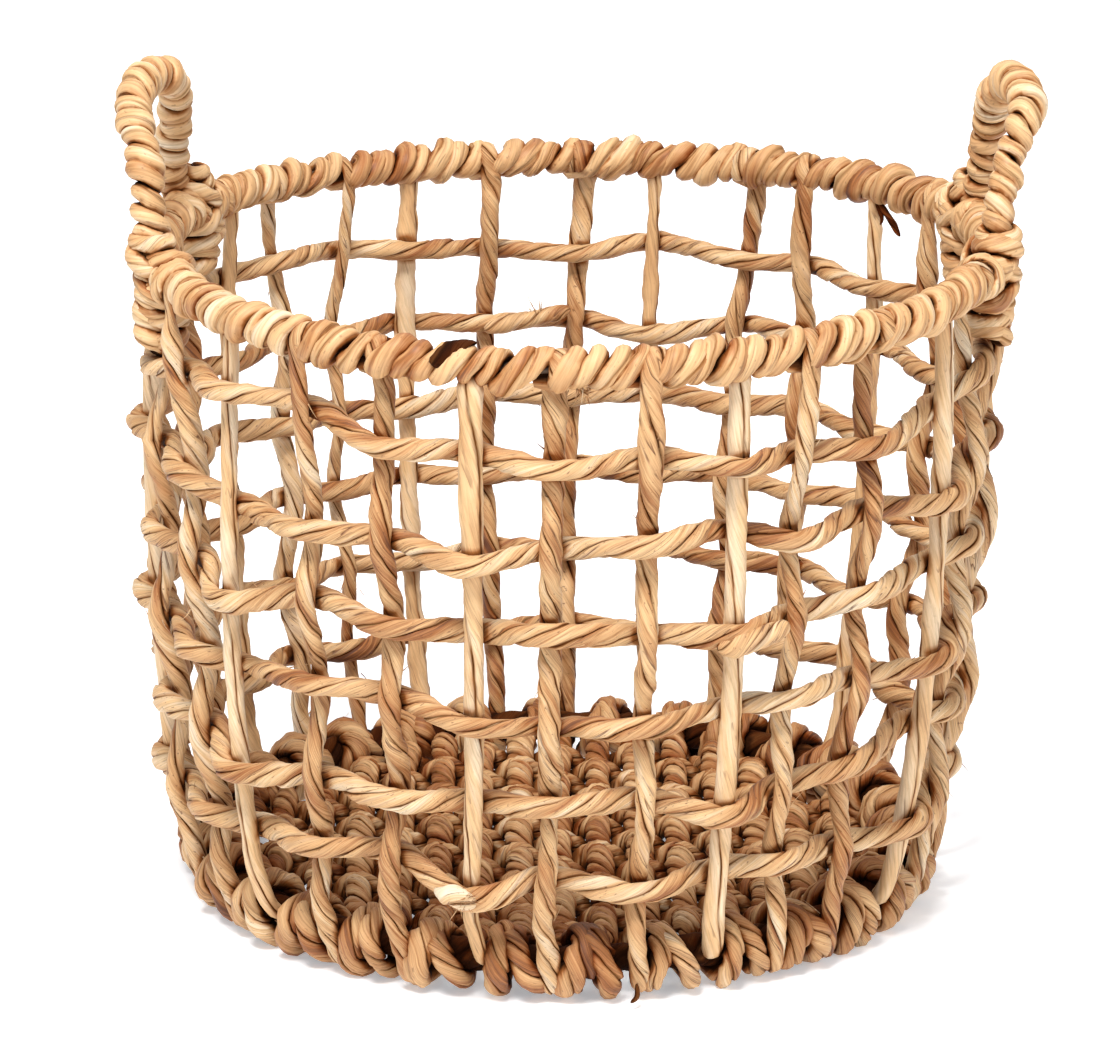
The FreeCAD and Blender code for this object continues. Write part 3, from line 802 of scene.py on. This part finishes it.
warp_lines = [(i - WARPS // 2) * WARP_PITCH for i in range(WARPS)]
cross_lines = [(i - CROSSES // 2) * CROSS_PITCH for i in range(CROSSES)]
warps = [floor_rope(p, cross_lines, True, i + 1, 3000 + i * 13, 7.6, 2.8, 20.5)
         for i, p in enumerate(warp_lines)]
wefts = [floor_rope(p, warp_lines, False, i, 3500 + i * 13, 5.8, 6.4, 13.8)
         for i, p in enumerate(cross_lines)]
mesh_piece("floor_ropes", warps, base_leaf, ("floor_warps",))
mesh_piece("floor_cross_ropes", wefts, base_leaf, ("floor_wefts",))


# ------------------------------------------------------------------ the handles

def wound(core, seed, pitch, core_radius, cord, tone, squash):
    """A cord wound round a path; core_radius may change along it."""
    n, t = carried_normals(core, False)
    b = np.cross(t, n)
    run = np.concatenate([[0], np.cumsum(np.linalg.norm(np.diff(core, axis=0), axis=1))])
    s = np.linspace(0, run[-1], int(run[-1] / pitch * PER_TURN))
    around = -TURN * s / pitch
    along = s + pitch * (0.16 * drift(s / 12, seed, (0.9, 2.1, 3.7))
                         + (0.16 + 0.12 * drift(s / 25, seed + 5)) * np.sin(around))
    along = np.clip(along, 0, run[-1])
    pick = lambda a: np.column_stack([np.interp(along, run, a[:, i]) for i in range(3)])
    out = unit(pick(n) * np.cos(around)[:, None] + pick(b) * np.sin(around)[:, None])
    radius = np.interp(s, np.linspace(0, run[-1], len(core_radius)), core_radius)
    radius = radius * (1 + 0.09 * drift(s / 9, seed + 1, (0.8, 1.7, 3.1)))
    path = pick(core) + out * radius[:, None]
    size = cord * (1 + 0.2 * drift(s / 15, seed + 2, (0.9, 2.1, 3.7)))
    return twisted(path, size, seed, tone=tone + 0.1 * drift(s / 60, seed + 3), pitch=130, lobes=2,
                   outward=out, squash=squash, groove=0.13, shaded=1.2, rough=1.5, crease=0.35)


def tied_loop(centre, first, second, deep, wide, cord, seed, tone):
    """One oval turn of cord round a point, in the plane of two directions."""
    a = np.linspace(0, TURN, 40, endpoint=False)[:, None] + math.pi     # starts on the inside
    out = first * np.cos(a) * deep + second * np.sin(a) * wide
    reach = 1 + 0.07 * drift(a[:, 0], seed, (1, 2, 3))[:, None]
    size = cord * (1 + 0.14 * drift(a[:, 0], seed + 500, (1, 2, 3)))
    return twisted(centre + out * reach, size, seed, closed=True, tone=tone, pitch=70, lobes=2,
                   outward=unit(out), squash=0.88, groove=0.14, shaded=1.2, rough=1.3, crease=0.4)


# Each arch's middle line from its front foot to its back foot: no two are bent alike.
HANDLES = {
    "right": [(230, -58, 318), (231, -57, 336), (230, -56, 354), (231, -50, 389), (238, -38, 416),
              (247, -24, 436), (240, 5, 443), (232, 35, 425), (229, 52, 394), (226, 62, 368),
              (224, 71, 349), (225, 73, 328)],
    "left": [(-227, -73, 316), (-228, -72, 335), (-228, -71, 352), (-229, -63, 384),
             (-233, -50, 417), (-240, -30, 435), (-234, 4, 445), (-222, 40, 436), (-222, 60, 410),
             (-226, 78, 374), (-217, 92, 348), (-214, 96, 326)],
}
# Half the thickness of the wire and its padding along each arch, front foot to back foot.
PADDING = {"right": [6.0, 4.6, 4.2, 4.6, 5.8, 6.6, 6.4, 5.8, 5.0, 4.6, 5.4],
           "left": [6.0, 6.0, 5.9, 5.8, 5.8, 6.2, 5.8, 5.4, 4.8, 5.0, 6.4]}
# The turns that tie a foot to the rim: height, slope, half width and half depth, in mm.
LASHING = ((19, 0.15, 8.6, 8.6), (12, -0.5, 11.0, 10.5), (5, 0.55, 16.0, 12.5),
           (-2, -0.5, 17.5, 13.5), (-9, 0.5, 16.0, 13.0), (-16, -0.35, 13.0, 12.0),
           (-24, 0.3, 10.5, 10.5), (-32, -0.2, 9.5, 9.0))


def lashing(foot, seed):
    """Crossed turns of cord that tie a handle's foot to the rim."""
    angle = math.degrees(math.atan2(foot[1], foot[0]))
    out, round_rim, up = polar(1, angle, 0), polar(1, angle + 90, 0), np.array([0, 0, 1.0])
    loops = []
    for k, (rise, slope, wide, deep) in enumerate(LASHING):
        centre = polar(RIM_RADIUS + 1.5, angle, RIM_HEIGHT + rise)
        if rise > 10:
            centre[:2] = foot[:2]
        loops.append(tied_loop(centre, out, unit(round_rim + slope * up), deep, wide, 4.9,
                               seed + k, 0.58))
    for k, (slide, slope) in enumerate(((-20, 0.5), (-13, -0.4), (13, 0.5), (20, 0.4))):
        centre = polar(RIM_RADIUS, angle, RIM_HEIGHT) + round_rim * slide
        loops.append(tied_loop(centre, out, unit(up + slope * round_rim), 9.0, 9.5, 5.0,
                               seed + 20 + k, 0.55))
    return loops


for name, stations in HANDLES.items():
    core = smooth_path(stations, 2.0)
    seed = 4000 + len(name) * 36
    grip = wound(core, seed, 10.6, PADDING[name], 5.3, 0.6, 0.88)
    mesh_piece(f"handle_grip_{name}", [grip], wrap_leaf,
               (f"handle_wrap_{name}", f"handle_wire_{name}"))
    ties = lashing(stations[2], seed + 1) + lashing(stations[-2], seed + 51)
    mesh_piece(f"handle_binding_{name}", ties, wrap_leaf,
               (f"handle_lashing_{name}",))


# ------------------------------------------------------------------ loose ends and frayed fibres

def stub(stations, radius, seed, tone, dark=0.0):
    """A short free end of cord."""
    return twisted(smooth_path(stations, 1.5), radius, seed, tone=tone, dark=dark, pitch=50,
                   taper=9, lobes=2)


def fibre(start, way, length, radius, r):
    """A hair of leaf that stands off the cord and curls."""
    way, bend = unit(way), unit(r.normal(size=3))
    s = np.linspace(0, 1, 7)[:, None]
    path = start + way * s * length + bend * (s**2) * length * r.uniform(0.1, 0.45)
    n, t = carried_normals(path, False)
    b = np.cross(t, n)
    theta = np.arange(4) / 4 * TURN
    size = radius * (1 - 0.8 * s[:, 0])
    rings = path[:, None] + size[:, None, None] * (np.cos(theta)[None, :, None] * n[:, None]
                                                   + np.sin(theta)[None, :, None] * b[:, None])
    tint = (r.uniform(), 0.25 * r.uniform(), 0.0, r.uniform(0.3, 0.8))
    return lattice(rings, False, theta / TURN * 0.4 + 0.3,
                   s[:, 0] * length + r.uniform(0, 900), tint)


def frayed_fibres(count):
    """Hairs of leaf here and there on the wall's cords."""
    r = np.random.default_rng(77)
    tubes = []
    for _ in range(count):
        path = cord_paths[r.integers(len(cord_paths))]
        i = r.integers(2, len(path) - 2)
        along = unit(path[i + 1] - path[i - 1])
        side = unit(np.cross(along, r.normal(size=3)))
        way = along * r.choice([-1, 1]) * r.uniform(0.5, 1.2) + side * r.uniform(0.25, 0.8)
        tubes.append(fibre(path[i] + side * 5.6, way, r.uniform(4, 12), r.uniform(0.22, 0.5), r))
    return tubes


def tuft(centre, ways, count, length, seed):
    """Fibres that burst from one place."""
    r = np.random.default_rng(seed)
    return [fibre(centre + r.normal(size=3) * 1.6, np.array(ways[r.integers(len(ways))], float)
                  + r.normal(size=3) * 0.45, length * r.uniform(0.6, 1.2), r.uniform(0.3, 0.6), r)
            for _ in range(count)]


knot = polar(wall_radius(64) + 16, upright_angle(0) + sway(0, 64), 66)
back_row = crossing_height(16, 4)
splice = polar(wall_radius(back_row) - 14, 95, back_row + 6)
loose = [
    # a split end under the rim, at the back on the right
    stub([polar(226, 40.5, 349), polar(229, 38.5, 338), polar(228, 35.5, 329)],
         2.1, 5001, 0.2, 0.5),
    stub([polar(226, 40.5, 347), polar(228, 39.5, 336), polar(227, 39.5, 333)],
         1.9, 5006, 0.2, 0.55),
    # ends of weft rows: in front on the right, and inside at the back
    stub([polar(wall_radius(210) + 11, -71, 204), polar(wall_radius(210) + 14, -66, 207),
          polar(wall_radius(210) + 12, -61.5, 212)], 5.6, 5002, 0.62),
    stub([polar(wall_radius(260) - 11, 103, back_row - 1), splice,
          polar(wall_radius(260) - 16, 90, back_row + 11)], 5.4, 5003, 0.4),
    # a dark end under the border, and the end of the lowest weft row at the first post
    stub([polar(207, -80, 12), polar(212, -80.5, 7), polar(214, -81.5, 4.5)],
         1.8, 5004, 0.35, 0.75),
    stub([polar(wall_radius(66) + 8, -107, 68), knot, polar(wall_radius(66) + 10, -101.5, 63)],
         5.6, 5005, 0.7),
]
# the last leaf of the right handle's binding, down to the post below it
tail = smooth_path([polar(236, -10, 352), polar(238.5, -6, 341), polar(237, -2, 318),
                    polar(232, 2, 290), polar(229, 3.6, 268)], 2.5)
loose.append(twisted(tail, np.linspace(6.8, 4.6, len(tail)), 5010, pitch=240, lobes=2, groove=0.12,
                     tone=0.66))
# one dark leaf bound over the rim, in front on the left
around, along_rim = np.radians(np.linspace(108, 8, 9)), np.linspace(257.2, 252.6, 9)
leaf = smooth_path([polar(RIM_RADIUS + 11.2 * math.cos(a), b, RIM_HEIGHT + 11.2 * math.sin(a))
                    for a, b in zip(around, along_rim)], 1.5)
hoop = smooth_path([polar(RIM_RADIUS, b, RIM_HEIGHT) for b in along_rim], 1.5)
hoop = hoop[np.linspace(0, len(hoop) - 1, len(leaf)).round().astype(int)]
loose.append(twisted(leaf, 4.6, 5020, dark=0.84, lobes=2, pitch=70, groove=0.24, squash=0.6,
                     outward=unit(leaf - hoop), tone=0.3, taper=16, spread=0.7))
mesh_piece("loose_ends", loose, weft_leaf)
hairs = frayed_fibres(170)
hairs += tuft(knot, [(1, -0.6, 0.8), (-0.8, -0.8, 0.3), (0.6, -0.8, -0.4)], 34, 8, 81)
hairs += tuft(splice, [(-0.5, 0, 1), (0.4, 0, 1.0)], 12, 11, 82)
hairs += tuft(polar(RIM_RADIUS + 4, -89, RIM_HEIGHT - 9), [(0.5, -0.8, -0.8)], 16, 9, 83)
mesh_piece("frayed_fibres", hairs, stake_leaf)


# ------------------------------------------------------------------ painted shade in crevices

# strength of the painted shade laid into crowded crevices
CREVICE_SHADE = 1.5                               # how dark a fully crowded place gets
FEELERS = (10.0, 7.0, 4.6)                  # mm off the cord's surface, furthest first
CELL = 2.5                                  # mm
GRID_LOW = np.array([-275.0, -275.0, -20.0])
GRID_SIZE = np.array([220, 220, 208])


def cell_of(points):
    return np.clip(((points - GRID_LOW) / CELL).astype(np.int32), 0, GRID_SIZE - 1)


def fill_grid():
    """Which cells of a coarse grid lie inside some cord."""
    solid = np.zeros(GRID_SIZE, bool)
    reach = np.arange(-4, 5)
    block = np.stack(np.meshgrid(reach, reach, reach, indexing="ij"), -1).reshape(-1, 3)
    for path, size in CORDS:
        cells = np.clip(cell_of(path)[:, None] + block, 0, GRID_SIZE - 1)
        gap = (cells + 0.5) * CELL + GRID_LOW - path[:, None]
        within = (np.broadcast_to(size, len(path)) ** 2)[:, None]
        inside = np.einsum("ijk,ijk->ij", gap, gap) < within
        hit = cells[inside]
        solid[hit[:, 0], hit[:, 1], hit[:, 2]] = True
    return solid


def paint_crevice_shade():
    """Paint shade into the cords' colour where their neighbours crowd them, as little light gets
    there.
    """
    solid = fill_grid()
    leans = ((1, 0, 0), (1, 1, 0), (1, -1, 0), (1, 0, 1), (1, 0, -1))
    for mesh, tubes in TINTED:
        verts = np.vstack([tube["verts"] for tube in tubes])
        frames = np.concatenate([tube["frame"] for tube in tubes])
        tint = np.vstack([tube["tint"] for tube in tubes]).astype(np.float32)
        shut = np.zeros(len(verts))
        for lean in leans:
            way = unit(np.einsum("k,ikj->ij", np.array(lean, float), frames))
            found = np.zeros(len(verts))
            for distance in FEELERS:
                c = cell_of(verts + way * distance)
                found = np.where(solid[c[:, 0], c[:, 1], c[:, 2]], 1 - distance / 16, found)
            shut += found / len(leans)
        # painted shade: the crowded places are darkened through the tint's dark channel
        tint[:, 1] = np.clip(tint[:, 1] + CREVICE_SHADE * np.clip(shut - 0.12, 0, 1), 0, 1)
        mesh.attributes["tint"].data.foreach_set("color", tint.ravel())


paint_crevice_shade()


# ------------------------------------------------------------------ floor, light, camera

def studio():
    """A pale floor without end, a pale world and three lamps."""
    scene = bpy.context.scene
    scene.view_settings.view_transform = "Standard"
    mesh = bpy.data.meshes.new("studio_floor")
    s = 40.0
    mesh.from_pydata([(-s, -s, 0), (s, -s, 0), (s, s, 0), (-s, s, 0)], [], [(0, 1, 2, 3)])
    ground = bpy.data.objects.new("studio_floor", mesh)
    scene.collection.objects.link(ground)
    pale = Nodes("studio_floor")
    pale.bsdf.inputs["Base Color"].default_value = (0.93, 0.935, 0.945, 1)
    pale.bsdf.inputs["Roughness"].default_value = 0.9
    pale.bsdf.inputs["Specular IOR Level"].default_value = 0.1
    pale.bsdf.inputs["Emission Color"].default_value = (0.9, 0.95, 1.0, 1)
    pale.bsdf.inputs["Emission Strength"].default_value = 0.36
    mesh.materials.append(pale.material)

    world = bpy.data.worlds.new("studio")
    scene.world = world
    world.use_nodes = True
    tree = world.node_tree
    tree.nodes["Background"].inputs["Color"].default_value = (0.97, 0.985, 1.0, 1)
    seen = tree.nodes.new("ShaderNodeMapRange")         # brighter where it is only a backdrop
    seen.inputs["To Min"].default_value, seen.inputs["To Max"].default_value = 0.48, 0.95
    tree.links.new(tree.nodes.new("ShaderNodeLightPath").outputs["Is Camera Ray"],
                   seen.inputs["Value"])
    tree.links.new(seen.outputs["Result"], tree.nodes["Background"].inputs["Strength"])

    def lamp(name, place, aim, power, size, colour):
        data = bpy.data.lights.new(name, "AREA")
        data.energy, data.size, data.color = power, size, colour
        light = bpy.data.objects.new(name, data)
        light.location = place
        way = Vector(aim) - Vector(place)
        light.rotation_euler = way.to_track_quat("-Z", "Y").to_euler()
        scene.collection.objects.link(light)

    lamp("key", (-0.4, -1.4, 2.7), (0, 0, 0.2), 110, 1.1, (1.0, 0.99, 0.975))
    lamp("fill", (2.0, -1.8, 1.4), (0, 0, 0.2), 14, 1.6, (1.0, 0.985, 0.975))
    lamp("back", (0.3, 1.8, 2.6), (0, 0, 0.2), 20, 1.2, (1.0, 0.99, 0.98))


def camera():
    """The camera looks from the front, 17.5 degrees above the basket's middle."""
    distance, elevation = 3.53, math.radians(17.5)
    target = Vector((0, 0, 0.178))
    back = Vector((0, -math.cos(elevation), math.sin(elevation)))
    up = Vector((0, math.sin(elevation), math.cos(elevation)))
    data = bpy.data.cameras.new("camera")
    data.sensor_width, data.lens = 36.0, 207.0
    data.clip_start, data.clip_end = 0.1, 60
    cam = bpy.data.objects.new("camera", data)
    cam.location = target + back * distance
    aim = target + up * 0.0192 + Vector((-0.0076, 0, 0))
    cam.rotation_euler = (aim - cam.location).to_track_quat("-Z", "Y").to_euler()
    bpy.context.scene.collection.objects.link(cam)
    bpy.context.scene.camera = cam


studio()
camera()
